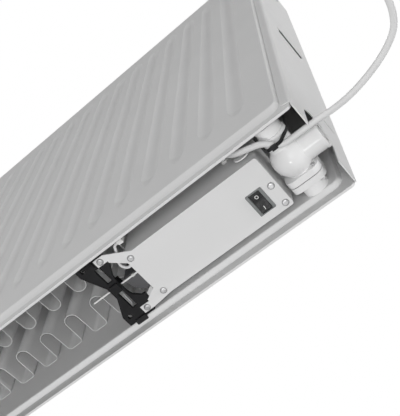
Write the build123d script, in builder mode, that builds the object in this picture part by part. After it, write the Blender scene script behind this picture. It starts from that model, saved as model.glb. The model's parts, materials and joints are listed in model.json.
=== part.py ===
from build123d import *
import os
from math import cos, pi, radians, sin, tan

os.makedirs("parts", exist_ok=True)

# Driving dimensions of the whole radiator, in millimetres
HEIGHT = 700.0
FLUTE_PITCH = 38.0
FLUTE_COUNT = 24
END_MARGIN = 55.0
FLANGE_HALF = 49.4
PLUG_PROUD = 4.0
LUG_DEPTH = 10.0

# Sheet thicknesses
SHEET_T = 1.25
COVER_T = 1.0
GRILLE_T = 1.0
CONVECTOR_T = 0.5
BOX_T = 1.0
RAIL_T = 1.0

# Clearances between pieces that meet
SEAT_GAP = 0.3
FIT_GAP = 0.05

# Pressed water panels: flat rim, sloped shoulder, fluted face
OUTER_RISE = 4.1
OUTER_CREASE = 9.5
OUTER_SLOPE_RUN = 10.5
INNER_RISE = 5.8
INNER_CREASE = 12.0
INNER_SLOPE_RUN = 2.8
SIDE_CREASE = 8.5
SIDE_SLOPE_RUN = 2.5
RIM_CORNER = 4.0
FOOT_CORNER = 12.0
CREST_CORNER = 7.0
CREST_ROUND = 2.0
FLUTE_TIP = 61.0
FLUTE_RUN_OUT = 24.0
FLUTE_WIDTH = 22.0
FLUTE_DEPTH = 3.6
INNER_FLUTE_WIDTH = 10.0
INNER_FLUTE_DEPTH = 3.0

# Convectors
CONVECTOR_BOTTOM = 56.0
CONVECTOR_TOP_GAP = 63.0
CONVECTOR_DEPTH = 34.6
LOOP_TIP_WIDTH = 17.0
LOOP_FOOT_WIDTH = 18.4
LOOP_TIP_R = 8.0
LOOP_FOOT_R = 4.0

# Side covers
RIM_END_GAP = 1.4
LIP_WIDTH = 10.0
COVER_CORNER = 3.0
COVER_BOTTOM = 0.5
COVER_TOP_GAP = 12.0
LIP_CUT_INNER = 11.0
LIP_CUT_CORNER = 7.0
NOTCH_R = 22.5
NOTCH_Y = -2.0
NOTCH_Z = 34.5
SLOT_HIGH_Z = 340.0
SLOT_HIGH_T = 6.0
SLOT_HIGH_FROM = -21.7
SLOT_HIGH_TO = 26.8
LOUVRE_T = 0.5
LOUVRE_RISE = 12.0
SLOT_LOW_Z = 104.0
SLOT_LOW_T = 3.0
SLOT_LOW_FROM = 20.3
SLOT_LOW_TO = 40.3
PIN_HOLE_R = 2.4
REAR_CORNER_CUT = 6.0
PIN_HOLE_Y = -22.7
PIN_HOLE_Z = 347.5

# Water connections
PORT_INSET = 34.8
PORT_Z = 27.0
TEE_R = 19.75
NECK_R = 13.0
SOCKET_R = 13.9
SOCKET_RIM_R = 14.6
SOCKET_RIM_T = 3.0
SOCKET_PROUD = 1.4
THREAD_BORE_R = 9.3
THREAD_DEPTH = 14.0
SOCKET_BORE_R = 7.0
WATER_BORE_R = 8.0
COLLAR_FROM = -31.0
COLLAR_TO = -27.6
COLLAR_R = 14.5
FLANGE_PLATE_W = 37.0
FLANGE_PLATE_CORNER = 9.0
FLANGE_PLATE_H = 33.0
FLANGE_PLATE_T = 6.5
FLANGE_PLATE_FROM = 15.3
FLANGE_SHIFT = 0.5
GASKET_T = 1.0
BOLT_R = 2.0
BOLT_INSET = 5.2
BOLT_PROUD = 2.0
BOLT_HEAD_R = 3.4
BOLT_HEAD_T = 2.4

# Plug and air vent in the left sockets
PLUG_HEAD_R = 12.5
SEAL_T = 1.2
SEAL_R = 11.6
HEX_KEY = 10.0
HEX_KEY_DEPTH = 8.0
SPINDLE_R = 3.0
SPINDLE_HEAD_R = 3.8
SPINDLE_SLOT_W = 1.0

# Lugs on the back of the rear panel
LUG_INSET = 150.0
LUG_Z = 90.0
LUG_WIDTH = 50.0
LUG_HEIGHT = 40.0
LUG_T = 2.5

# Top grille
GRILLE_SLOT_PITCH = 12.0
GRILLE_SLOT_W = 6.0
GRILLE_SLOT_L = 34.0
GRILLE_SLOT_ROW = 20.5
GRILLE_SKIRT = 4.5

# Fans on their rail
FAN_COUNT = 3
FAN_PITCH = 250.0
FAN_SIZE = 60.0
FAN_T = 20.0
FAN_BORE_R = 28.0
FAN_TIP_GAP = 1.0
FAN_HUB_R = 12.0
FAN_HUB_T = 10.0
FAN_PIN_R = 1.5
FAN_BASE_R = 11.0
FAN_BASE_T = 4.0
FAN_SCREW_SPACING = 50.0
BLADE_COUNT = 7
BLADE_T = 1.2
BLADE_CHORD = 11.0
BLADE_ANGLE = 35.0
FAN_SCREW_R = 1.5
RAIL_HALF_W = 38.0

# Control box under the panels, left of the bottom right connection
BOX_RIGHT = 58.5
BOX_LENGTH = 164.5
BOX_BACK_OF_MID = 4.8
BOX_DEPTH = 60.0
BOX_BOTTOM = 14.0
BOX_HEIGHT = 47.0
BOX_CORNER = 2.5
SCREW_R = 1.5
SCREW_HEAD_R = 3.65
SCREW_HEAD_T = 1.9
SCREW_LENGTH = 10.0
POST_R = 3.2
SCREW_INSET_X = 6.0
SCREW_INSET_FRONT = 5.75
SCREW_INSET_REAR = 6.0
SCREW_ROW_RIGHT_SHARE = 0.529

# Rocker switch in the box's bottom plate
SWITCH_X = 82.0
SWITCH_Y = 13.2
BEZEL_W = 18.0
BEZEL_L = 25.2
BEZEL_T = 1.6
POCKET_W = 12.2
POCKET_L = 23.2
SWITCH_DEPTH = 17.0
POCKET_DEPTH = 13.0
ROCKER_PIVOT_UP = 4.0
ROCKER_HALF_L = 10.3
ROCKER_TILT = 9.0
ROCKER_PIN_R = 1.15

# Black bracket between the panels
BRACKET_T = 3.0
HUB_FROM_BOX = 29.0
HUB_W = 9.5
HUB_L = 8.5
HUB_Y = -3.6
HUB_DROP = 3.0
HUB_RISE = 12.0
WAIST_LEFT = 8.5
WAIST_RIGHT = 5.6
WAIST_HALF_L = 7.3
WEB_LEFT = 20.0
WEB_RIGHT = 13.0
WEB_EAR = 18.2
BRACKET_SLOT_W = 6.6
BRACKET_SLOT_SHIFT = 0.5
FRONT_SLOT_FROM = -30.7
FRONT_SLOT_TO = -11.1
REAR_SLOT_FROM = 3.5
REAR_SLOT_TO = 25.5
BRACKET_HOLE_R = 2.4
BRACKET_HOLE_X = 13.2
FRONT_HOLE_INSET = 3.4
REAR_HOLE_INSET = 9.0
BRACKET_BOSS_R = 3.0
BRACKET_BOSS_X = 2.2
BRACKET_BOSS_INSET = 5.1
BRACKET_BOSS_DROP = 1.5
HOOK_W = 13.0
FRONT_HOOK_X = 12.0
REAR_HOOK_X = 11.0
FRONT_HOOK_REACH = 2.2
REAR_HOOK_REACH = 3.2
HOOK_TIP_T = 1.6
HOOK_ROOT_T = 3.0
ARM_SCREW_FROM_BOX = 19.9
ARM_FRONT_Y = -35.5
ARM_REAR_Y = 33.5
TAB_HALF = 4.2
TAB_SIDE = 6.1
ARM_ROOT = 12.0
LIP_FROM_SCREW = 10.4
LIP_DEPTH = 14.5
LIP_RISE = 4.0
LIP_LEAN = 3.0

# Sensor rod through the hub
ROD_R = 0.95
COLLAR_R_OUT = 1.6
ROD_Y = -1.2
ROD_Z = 20.0
ROD_LENGTH = 62.0
COLLAR_GAP = 9.5
COLLAR_L = 3.0
SENSOR_LEAD_R = 1.5
SENSOR_FROM_BOX = 9.5
SENSOR_Y = -38.0
SENSOR_W = 6.0
SENSOR_H = 9.0
SENSOR_T = 4.8

# Mains cord
CORD_R = 3.0
COIL_X = 157.0
COIL_Y = -112.0
COIL_INNER_R = 24.0
COIL_PITCH = 7.8
COIL_LAYER_RISE = 7.1
COIL_HALF_TURNS = 5
TIE_BAND_T = 1.0
TIE_BAND_W = 8.0

# Mains plug
PLUG_BODY_L = 36.0
PLUG_BODY_W = 35.0
PLUG_BODY_T = 14.0
PLUG_PIN_R = 2.0
PLUG_PIN_L = 19.0
PLUG_PIN_SPACING = 19.0
TAIL_RUN = 34.0

# Places worked out from the sizes above
LENGTH = (FLUTE_COUNT - 1) * FLUTE_PITCH + 2 * END_MARGIN
FLANGE_IN = FLANGE_HALF - 2 * SHEET_T
FACE_HALF = FLANGE_HALF + OUTER_RISE
INNER_FACE = FLANGE_IN - INNER_RISE
COVER_HALF = FLANGE_HALF + SEAT_GAP + COVER_T
RIGHT = (LENGTH + PLUG_PROUD) / 2
LEFT = RIGHT - LENGTH
CENTRE_X = (RIGHT + LEFT) / 2
MID = -LUG_DEPTH / 2
PANEL_H = HEIGHT - GRILLE_T
RIM_W = LENGTH - 2 * (COVER_T + RIM_END_GAP)
CONVECTOR_TOP = PANEL_H - CONVECTOR_TOP_GAP
BOX_TOP = BOX_BOTTOM + BOX_HEIGHT
BOX_FRONT = BOX_BACK_OF_MID - BOX_DEPTH / 2
BOX_LEFT = BOX_RIGHT + BOX_LENGTH


def save(builder, label):
    """Name a finished piece and write it."""
    builder.part.label = label
    export_step(builder.part, f"parts/{label}.step")


def face_plane(y, outward):
    """An upright plane at y whose normal points along +Y or -Y, with its own y axis up."""
    return Plane((CENTRE_X, y, PANEL_H / 2), x_dir=(-outward, 0, 0), z_dir=(0, outward, 0))


# The four pressed sheets of the two water panels
def pressed_form(plane, rise, crease, slope_run, flute_width, flute_depth):
    """The solid bulge that a sheet is pressed over, with a flute cut at each pitch."""
    with BuildPart() as flute:
        side = Plane(plane.origin, x_dir=plane.y_dir, z_dir=plane.x_dir)
        flute_r = (flute_width**2 / 4 + flute_depth**2) / (2 * flute_depth)
        tip = PANEL_H / 2 - FLUTE_TIP
        full = tip - FLUTE_RUN_OUT
        low = rise - flute_depth + flute_r
        past = flute_depth * 2
        end = full + FLUTE_RUN_OUT * 2
        with BuildLine(side) as path:
            Polyline((-end, low + past), (-full, low), (full, low), (end, low + past))
        with BuildSketch(Plane(path.line @ 0, z_dir=path.line % 0)):
            Circle(flute_r)
        sweep(transition=Transition.RIGHT)
    first = -(FLUTE_COUNT - 1) * FLUTE_PITCH / 2
    spots = [plane.x_dir * (first + k * FLUTE_PITCH) for k in range(FLUTE_COUNT)]
    with BuildPart() as form:
        foot_w = RIM_W - 2 * SIDE_CREASE
        foot_h = PANEL_H - 2 * crease
        with BuildSketch(plane):
            RectangleRounded(foot_w, foot_h, FOOT_CORNER)
        with BuildSketch(plane.offset(rise)):
            RectangleRounded(foot_w - 2 * SIDE_SLOPE_RUN, foot_h - 2 * slope_run, CREST_CORNER)
        loft(ruled=True)
        crest = form.faces().sort_by(Axis(plane.origin, plane.z_dir))[-1]
        fillet(crest.edges(), CREST_ROUND)
        with Locations(*spots):
            add(flute.part, mode=Mode.SUBTRACT)
    return form.part


def panel_sheet(label, plane, rise, crease, slope_run, flute_width, flute_depth, ports):
    """One pressed sheet of even thickness: a flat rim around the fluted bulge."""
    bulge = pressed_form(plane, rise, crease, slope_run, flute_width, flute_depth)
    with BuildPart() as sheet:
        with BuildSketch(plane):
            RectangleRounded(RIM_W, PANEL_H, RIM_CORNER)
        extrude(amount=-SHEET_T)
        add(bulge)
        add(bulge.moved(Location(plane.z_dir * -SHEET_T)), mode=Mode.SUBTRACT)
        if ports:
            reach = LENGTH / 2 - PORT_INSET
            up = PANEL_H / 2 - PORT_Z
            with BuildSketch(plane.offset(rise)):
                with GridLocations(2 * reach, 2 * up, 2, 2):
                    Circle(WATER_BORE_R)
            extrude(amount=-rise - SHEET_T, mode=Mode.SUBTRACT)
    save(sheet, label)


outer_form = (OUTER_RISE, OUTER_CREASE, OUTER_SLOPE_RUN, FLUTE_WIDTH, FLUTE_DEPTH)
inner_form = (INNER_RISE, INNER_CREASE, INNER_SLOPE_RUN, INNER_FLUTE_WIDTH, INNER_FLUTE_DEPTH)
panel_sheet("front_panel_outer_sheet", face_plane(MID - FLANGE_HALF, -1), *outer_form, False)
panel_sheet("front_panel_inner_sheet", face_plane(MID - FLANGE_IN, 1), *inner_form, True)
panel_sheet("rear_panel_inner_sheet", face_plane(MID + FLANGE_IN, -1), *inner_form, True)
panel_sheet("rear_panel_outer_sheet", face_plane(MID + FLANGE_HALF, 1), *outer_form, False)


# Folded convector sheets, welded to the inner sheets along the flutes
def convector(label, side):
    """A sheet folded into one open loop per channel; side is -1 at the front and 1 at the rear."""
    seat = MID + side * (INNER_FACE - CONVECTOR_T / 2)
    tip = seat - side * (CONVECTOR_DEPTH - CONVECTOR_T)
    half = FLUTE_PITCH / 2
    foot = LOOP_FOOT_WIDTH / 2
    top = LOOP_TIP_WIDTH / 2 - CONVECTOR_T / 2
    corners = [(-half, seat), (-foot, seat), (-top, tip), (top, tip), (foot, seat), (half, seat)]
    rounds = [LOOP_FOOT_R, LOOP_TIP_R, LOOP_TIP_R, LOOP_FOOT_R]
    with BuildSketch() as loop:
        with BuildLine():
            FilletPolyline(*corners, radius=rounds)
        trace(line_width=CONVECTOR_T)
    first = RIGHT - END_MARGIN - half
    spots = [(first - k * FLUTE_PITCH, 0) for k in range(FLUTE_COUNT - 1)]
    with BuildPart() as fins:
        with BuildSketch(Plane.XY.offset(CONVECTOR_BOTTOM)):
            with Locations(*spots):
                add(loop.sketch)
        extrude(amount=CONVECTOR_TOP - CONVECTOR_BOTTOM)
        room = 2 * SEAT_GAP
        with BuildSketch(Plane.XY.offset(CONVECTOR_BOTTOM)):
            with Locations((RIGHT - BOX_RIGHT - BOX_LENGTH / 2, MID)):
                Rectangle(BOX_LENGTH + 2 * FLUTE_PITCH / 4, 2 * INNER_FACE + room)
        extrude(amount=BOX_TOP + SEAT_GAP - CONVECTOR_BOTTOM, mode=Mode.SUBTRACT)
    save(fins, label)


convector("front_convector", -1)
convector("rear_convector", 1)


# Water connections between the panels
def along_x(x, y, z):
    """A plane at a point, facing +X, with its own y axis up."""
    return Plane((x, y, z), x_dir=(0, 1, 0), z_dir=(1, 0, 0))


def along_y(x, y, z):
    """A plane at a point, facing +Y, with its own y axis up."""
    return Plane((x, y, z), x_dir=(-1, 0, 0), z_dir=(0, 1, 0))


def corners():
    """The four connection corners as (x of the tee, +1 right or -1 left, z)."""
    for end in (1, -1):
        for z in (PORT_Z, PANEL_H - PORT_Z):
            yield CENTRE_X + end * (LENGTH / 2 - PORT_INSET), end, z


def plate_sketch(x, end, y, z):
    """The outline of a coupling plate at depth y."""
    with BuildSketch(along_y(x - end * FLANGE_SHIFT, y, z)) as outline:
        RectangleRounded(FLANGE_PLATE_W, FLANGE_PLATE_H, FLANGE_PLATE_CORNER)
    return outline.sketch


SOCKET_LENGTH = PORT_INSET + SOCKET_PROUD
PLATE_Y = MID + FLANGE_PLATE_FROM
GASKET_Y = PLATE_Y + FLANGE_PLATE_T
STUB_Y = GASKET_Y + GASKET_T
STUB_END = STUB_Y + FLANGE_PLATE_T
BOLT_X = FLANGE_PLATE_W / 2 - BOLT_INSET
BOLT_Z = FLANGE_PLATE_H / 2 - BOLT_INSET


def left_tee(z):
    """A cast tee: ball, socket to the left, neck to the front panel, plate to the rear."""
    x = LEFT + PORT_INSET
    end = -1
    face = MID - INNER_FACE
    with BuildPart() as body:
        with Locations((x, MID, z)):
            Sphere(TEE_R)
        with BuildSketch(along_y(x, face, z)):
            Circle(NECK_R)
        extrude(amount=PLATE_Y - face)
        with BuildSketch(along_y(x, MID + COLLAR_FROM, z)):
            Circle(COLLAR_R)
        extrude(amount=COLLAR_TO - COLLAR_FROM)
        add(extrude(plate_sketch(x, end, PLATE_Y, z), amount=FLANGE_PLATE_T, mode=Mode.PRIVATE))
        with BuildSketch(along_x(x, MID, z)):
            Circle(SOCKET_R)
        extrude(amount=end * SOCKET_LENGTH)
        mouth = x + end * SOCKET_LENGTH
        with BuildSketch(along_x(mouth, MID, z)):
            Circle(SOCKET_RIM_R)
        extrude(amount=-end * SOCKET_RIM_T)
        with BuildSketch(along_y(x, face, z)):
            Circle(WATER_BORE_R)
        extrude(amount=GASKET_Y - face, mode=Mode.SUBTRACT)
        with BuildSketch(along_x(x, MID, z)):
            Circle(SOCKET_BORE_R)
        extrude(amount=end * SOCKET_LENGTH, mode=Mode.SUBTRACT)
        with BuildSketch(along_x(mouth, MID, z)):
            Circle(THREAD_BORE_R)
        extrude(amount=-end * THREAD_DEPTH, mode=Mode.SUBTRACT)
        with BuildSketch(along_y(x - end * FLANGE_SHIFT, PLATE_Y, z)):
            with Locations((-BOLT_X, BOLT_Z), (BOLT_X, -BOLT_Z)):
                Circle(BOLT_R + FIT_GAP)
        extrude(amount=FLANGE_PLATE_T, mode=Mode.SUBTRACT)
    return body.part


for tee_level, tee_z in (("bottom", PORT_Z), ("top", PANEL_H - PORT_Z)):
    with BuildPart() as tee_left:
        add(left_tee(tee_z))
    save(tee_left, f"tee_{tee_level}_left")
    with BuildPart() as tee_right:
        mirror(tee_left.part, about=Plane.YZ.offset(CENTRE_X))
    save(tee_right, f"tee_{tee_level}_right")

with BuildPart() as rear_stubs:
    for tee_x, tee_end, tee_z in corners():
        outline = plate_sketch(tee_x, tee_end, STUB_Y, tee_z)
        add(extrude(outline, amount=FLANGE_PLATE_T, mode=Mode.PRIVATE))
        with BuildSketch(along_y(tee_x, STUB_END, tee_z)):
            Circle(NECK_R)
        extrude(amount=MID + INNER_FACE - STUB_END)
        with BuildSketch(along_y(tee_x, STUB_Y, tee_z)):
            Circle(WATER_BORE_R)
        extrude(amount=MID + INNER_FACE - STUB_Y, mode=Mode.SUBTRACT)
        with BuildSketch(along_y(tee_x - tee_end * FLANGE_SHIFT, STUB_Y, tee_z)):
            with Locations((tee_end * BOLT_X, BOLT_Z), (-tee_end * BOLT_X, -BOLT_Z)):
                Circle(BOLT_R + FIT_GAP)
        extrude(amount=FLANGE_PLATE_T, mode=Mode.SUBTRACT)
save(rear_stubs, "rear_stubs")

with BuildPart() as coupling_gaskets:
    for tee_x, tee_end, tee_z in corners():
        with BuildSketch(along_y(tee_x, GASKET_Y, tee_z)):
            Circle(NECK_R)
            Circle(WATER_BORE_R, mode=Mode.SUBTRACT)
        extrude(amount=GASKET_T)
save(coupling_gaskets, "coupling_gaskets")

with BuildPart() as coupling_bolts:
    for tee_x, tee_end, tee_z in corners():
        with BuildSketch(along_y(tee_x - tee_end * FLANGE_SHIFT, PLATE_Y - BOLT_PROUD, tee_z)):
            with Locations((tee_end * BOLT_X, BOLT_Z), (-tee_end * BOLT_X, -BOLT_Z)):
                Circle(BOLT_R)
        extrude(amount=BOLT_PROUD + 2 * FLANGE_PLATE_T + GASKET_T)
        with BuildSketch(along_y(tee_x - tee_end * FLANGE_SHIFT, STUB_END, tee_z)):
            with Locations((tee_end * BOLT_X, BOLT_Z), (-tee_end * BOLT_X, -BOLT_Z)):
                RegularPolygon(BOLT_HEAD_R, 6)
        extrude(amount=BOLT_HEAD_T)
save(coupling_bolts, "coupling_bolts")

# Plug and air vent in the two left sockets
SOCKET_MOUTH = LEFT - SOCKET_PROUD
HEAD_T = PLUG_PROUD - SEAL_T


def left_plug(z, label):
    """A screwed plug with a hexagonal recess, its head outside the left socket."""
    with BuildPart() as plug:
        with BuildSketch(along_x(SOCKET_MOUTH - SEAL_T, MID, z)):
            Circle(PLUG_HEAD_R)
        extrude(amount=-HEAD_T)
        fillet(plug.edges().group_by(Axis.X)[0], HEAD_T / 3)
        with BuildSketch(along_x(SOCKET_MOUTH - SEAL_T, MID, z)):
            Circle(THREAD_BORE_R - FIT_GAP)
        extrude(amount=SEAL_T + THREAD_DEPTH - SEAT_GAP)
        with BuildSketch(along_x(SOCKET_MOUTH - PLUG_PROUD, MID, z)):
            if label == "blanking_plug":
                RegularPolygon(HEX_KEY / 2, 6, major_radius=False)
            else:
                Circle(SPINDLE_HEAD_R + SEAT_GAP)
        extrude(amount=HEX_KEY_DEPTH, mode=Mode.SUBTRACT)
        if label == "air_vent_body":
            with BuildSketch(along_x(SOCKET_MOUTH - PLUG_PROUD, MID, z)):
                Circle(SPINDLE_R + FIT_GAP)
            extrude(amount=PLUG_PROUD + THREAD_DEPTH, mode=Mode.SUBTRACT)
    save(plug, label)


left_plug(PORT_Z, "blanking_plug")
left_plug(PANEL_H - PORT_Z, "air_vent_body")

with BuildPart() as bleed_spindle:
    head_x = SOCKET_MOUTH - PLUG_PROUD
    with BuildSketch(along_x(head_x + HEX_KEY_DEPTH - SEAT_GAP, MID, PANEL_H - PORT_Z)):
        Circle(SPINDLE_R)
    extrude(amount=THREAD_DEPTH + PLUG_PROUD - HEX_KEY_DEPTH)
    with BuildSketch(along_x(head_x + SEAT_GAP, MID, PANEL_H - PORT_Z)):
        Circle(SPINDLE_HEAD_R)
    extrude(amount=HEX_KEY_DEPTH - 2 * SEAT_GAP)
    with BuildSketch(along_x(head_x, MID, PANEL_H - PORT_Z)):
        Rectangle(SPINDLE_SLOT_W, 3 * SPINDLE_HEAD_R)
    extrude(amount=HEX_KEY_DEPTH / 3, mode=Mode.SUBTRACT)
save(bleed_spindle, "bleed_spindle")

with BuildPart() as port_seals:
    for seal_z in (PORT_Z, PANEL_H - PORT_Z):
        with BuildSketch(along_x(SOCKET_MOUTH - SEAL_T, MID, seal_z)):
            Circle(SEAL_R)
            Circle(THREAD_BORE_R, mode=Mode.SUBTRACT)
        extrude(amount=SEAL_T)
save(port_seals, "port_seals")

# Hooked lugs on the back, each welded across two channels
LUG_X = (FLUTE_COUNT // 2 - 1 - round(LUG_INSET / FLUTE_PITCH)) * FLUTE_PITCH + FLUTE_PITCH / 2
with BuildPart() as hanging_lugs:
    back = MID + FACE_HALF
    for lug_x in (CENTRE_X - LUG_X, CENTRE_X + LUG_X):
        for lug_z in (LUG_Z, PANEL_H - LUG_Z):
            top = lug_z + LUG_HEIGHT / 2
            foot = lug_z - LUG_HEIGHT / 2
            with BuildSketch(Plane((lug_x - LUG_WIDTH / 2, 0, 0), x_dir=(0, 1, 0), z_dir=(1, 0, 0))):
                with BuildLine():
                    Polyline(
                        (back, foot),
                        (back, top),
                        (back + LUG_DEPTH, top),
                        (back + LUG_DEPTH, lug_z - LUG_HEIGHT / 4),
                        (back + LUG_DEPTH - LUG_T, lug_z - LUG_HEIGHT / 4),
                        (back + LUG_DEPTH - LUG_T, top - LUG_T),
                        (back + LUG_T, top - LUG_T),
                        (back + LUG_T, foot),
                        close=True,
                    )
                make_face()
            extrude(amount=LUG_WIDTH)
save(hanging_lugs, "hanging_lugs")

# Round-headed stud on the inner face of the front panel
STUD_X = 69.3
STUD_R = 2.2
STUD_HEAD_R = 9.0
STUD_HEAD_T = 1.6
STUD_LENGTH = 10.4
with BuildPart() as front_stud:
    stud_plane = along_y(RIGHT - STUD_X, MID - INNER_FACE, PORT_Z)
    with BuildSketch(stud_plane):
        Circle(STUD_R)
    extrude(amount=STUD_LENGTH)
    with BuildSketch(stud_plane.offset(STUD_LENGTH)):
        Circle(STUD_HEAD_R)
    extrude(amount=STUD_HEAD_T)
    fillet(front_stud.edges().group_by(Axis.Y)[-1], STUD_HEAD_T / 2)
save(front_stud, "front_stud")


# Side covers, each a channel clipped over the ends of both panels
def side_cover(label, end):
    """The cover at +1 right or -1 left, with its slots, pin hole and pipe notches."""
    outside = RIGHT if end > 0 else LEFT
    cover_top = HEIGHT - COVER_TOP_GAP
    width = LIP_WIDTH
    wall_x = outside - end * COVER_T / 2
    lip_y = COVER_HALF - COVER_T / 2
    bend = COVER_CORNER - COVER_T / 2
    lip_x = outside - end * width
    with BuildPart() as cover:
        with BuildSketch(Plane.XY.offset(COVER_BOTTOM)):
            with BuildLine():
                FilletPolyline(
                    (lip_x, MID - lip_y),
                    (wall_x, MID - lip_y),
                    (wall_x, MID + lip_y),
                    (lip_x, MID + lip_y),
                    radius=bend,
                )
            trace(line_width=COVER_T)
        extrude(amount=cover_top - COVER_BOTTOM)
        with BuildSketch(Plane.XZ.offset(-MID)):
            with BuildLine():
                Polyline(
                    (outside - end * width, 0),
                    (outside - end * width, LIP_CUT_INNER),
                    (outside - end * COVER_T, LIP_CUT_CORNER),
                    (outside - end * COVER_T, 0),
                    close=True,
                )
            make_face()
        extrude(amount=2 * COVER_HALF, both=True, mode=Mode.SUBTRACT)
        rear = MID + COVER_HALF
        with BuildSketch(along_x(lip_x, 0, 0)):
            with BuildLine():
                Polyline((rear, 0), (rear, REAR_CORNER_CUT), (rear - REAR_CORNER_CUT, 0), close=True)
            make_face()
        extrude(amount=end * width, mode=Mode.SUBTRACT)
        wall = along_x(outside - end * LIP_WIDTH / 2, MID, 0)
        with BuildSketch(wall):
            for notch_z, notch_end in ((NOTCH_Z, 0), (PANEL_H - NOTCH_Z, HEIGHT)):
                with Locations((NOTCH_Y, notch_z)):
                    Circle(NOTCH_R)
                with Locations((NOTCH_Y, (notch_z + notch_end) / 2)):
                    Rectangle(2 * NOTCH_R, abs(notch_z - notch_end))
            with Locations(((SLOT_LOW_FROM + SLOT_LOW_TO) / 2, SLOT_LOW_Z)):
                SlotOverall(SLOT_LOW_TO - SLOT_LOW_FROM, SLOT_LOW_T)
            with Locations((PIN_HOLE_Y, PIN_HOLE_Z)):
                Circle(PIN_HOLE_R)
        extrude(amount=end * LIP_WIDTH, mode=Mode.SUBTRACT)
        slot_mid = MID + (SLOT_HIGH_FROM + SLOT_HIGH_TO) / 2
        slot_half = (SLOT_HIGH_TO - SLOT_HIGH_FROM) / 2
        louvre_foot = SLOT_HIGH_Z
        inside = outside - end * 2 * COVER_T
        hood_in = outside + end * (SOCKET_PROUD - LOUVRE_T)
        with BuildSketch(Plane.XZ.offset(-slot_mid)):
            with BuildLine():
                Polyline(
                    (outside - end * COVER_T / 2, louvre_foot),
                    (outside + end * SOCKET_PROUD, louvre_foot),
                    (outside + end * SOCKET_PROUD, louvre_foot + LOUVRE_T),
                    (outside - end * COVER_T / 2, louvre_foot + LOUVRE_RISE),
                    close=True,
                )
            make_face()
        extrude(amount=slot_half, both=True)
        with BuildSketch(Plane.XZ.offset(-slot_mid)):
            with BuildLine():
                Polyline(
                    (inside, louvre_foot - SLOT_HIGH_T),
                    (hood_in, louvre_foot - SLOT_HIGH_T),
                    (hood_in, louvre_foot + LOUVRE_T),
                    (inside, louvre_foot + LOUVRE_RISE * 0.6),
                    close=True,
                )
            make_face()
        extrude(amount=slot_half - COVER_T, both=True, mode=Mode.SUBTRACT)
    save(cover, label)


side_cover("right_side_cover", 1)
side_cover("left_side_cover", -1)

# Slotted top grille, its short skirts inside the panel rims
with BuildPart() as top_grille:
    with BuildSketch(Plane.XY.offset(PANEL_H)):
        with Locations((CENTRE_X, MID)):
            Rectangle(RIM_W, 2 * FLANGE_HALF)
            slot_count = int((RIM_W - 4 * GRILLE_SLOT_PITCH) / GRILLE_SLOT_PITCH)
            with GridLocations(GRILLE_SLOT_PITCH, 2 * GRILLE_SLOT_ROW, slot_count, 2):
                SlotOverall(GRILLE_SLOT_L, GRILLE_SLOT_W, rotation=90, mode=Mode.SUBTRACT)
    extrude(amount=GRILLE_T)
    skirt_out = FLANGE_IN - SEAT_GAP
    with BuildSketch(Plane.XY.offset(PANEL_H)):
        for skirt_side in (1, -1):
            with Locations((CENTRE_X, MID + skirt_side * (skirt_out - GRILLE_T / 2))):
                Rectangle(RIM_W, GRILLE_T)
    extrude(amount=-GRILLE_SKIRT)
save(top_grille, "top_grille")

# Fan rail on top of the convectors
FAN_SPOTS = [(CENTRE_X + (k - (FAN_COUNT - 1) / 2) * FAN_PITCH, MID) for k in range(FAN_COUNT)]
RAIL_Z = CONVECTOR_TOP
FAN_Z = RAIL_Z + RAIL_T
HALF_HOLES = FAN_SCREW_SPACING / 2
with BuildPart() as fan_rail:
    rail_length = (FAN_COUNT - 1) * FAN_PITCH + 2 * FAN_SIZE
    with BuildSketch(Plane.XY.offset(RAIL_Z)):
        with Locations((CENTRE_X, MID)):
            Rectangle(rail_length, 2 * RAIL_HALF_W)
        with Locations(*FAN_SPOTS):
            Circle(FAN_BORE_R, mode=Mode.SUBTRACT)
            with GridLocations(FAN_SCREW_SPACING, FAN_SCREW_SPACING, 2, 2):
                Circle(FAN_SCREW_R + FIT_GAP, mode=Mode.SUBTRACT)
    extrude(amount=RAIL_T)
    with BuildSketch(Plane.XY.offset(FAN_Z)):
        for rail_side in (1, -1):
            with Locations((CENTRE_X, MID + rail_side * (RAIL_HALF_W - RAIL_T / 2))):
                Rectangle(rail_length, RAIL_T)
    extrude(amount=FAN_T / 2)
save(fan_rail, "fan_rail")


# Three small axial fans that blow upwards
def fan_frame(number, x, y):
    """A square frame with a round duct, four arms, a motor base and the shaft pin."""
    with BuildPart() as frame:
        with BuildSketch(Plane.XY.offset(FAN_Z)):
            with Locations((x, y)):
                RectangleRounded(FAN_SIZE, FAN_SIZE, 4 * FAN_SCREW_R / 2)
                Circle(FAN_BORE_R, mode=Mode.SUBTRACT)
                with GridLocations(FAN_SCREW_SPACING, FAN_SCREW_SPACING, 2, 2):
                    Circle(FAN_SCREW_R + FIT_GAP, mode=Mode.SUBTRACT)
        extrude(amount=FAN_T)
        with BuildSketch(Plane.XY.offset(FAN_Z)):
            with Locations((x, y)):
                Rectangle(2 * FAN_BORE_R + RAIL_T, FAN_BASE_T)
                Rectangle(FAN_BASE_T, 2 * FAN_BORE_R + RAIL_T)
                Circle(FAN_BASE_R)
        extrude(amount=FAN_BASE_T)
        with BuildSketch(Plane.XY.offset(FAN_Z)):
            with Locations((x, y)):
                Circle(FAN_PIN_R)
        extrude(amount=FAN_BASE_T + FAN_HUB_T - 2 * RAIL_T)
    save(frame, f"fan_frame_{number}")


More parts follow.
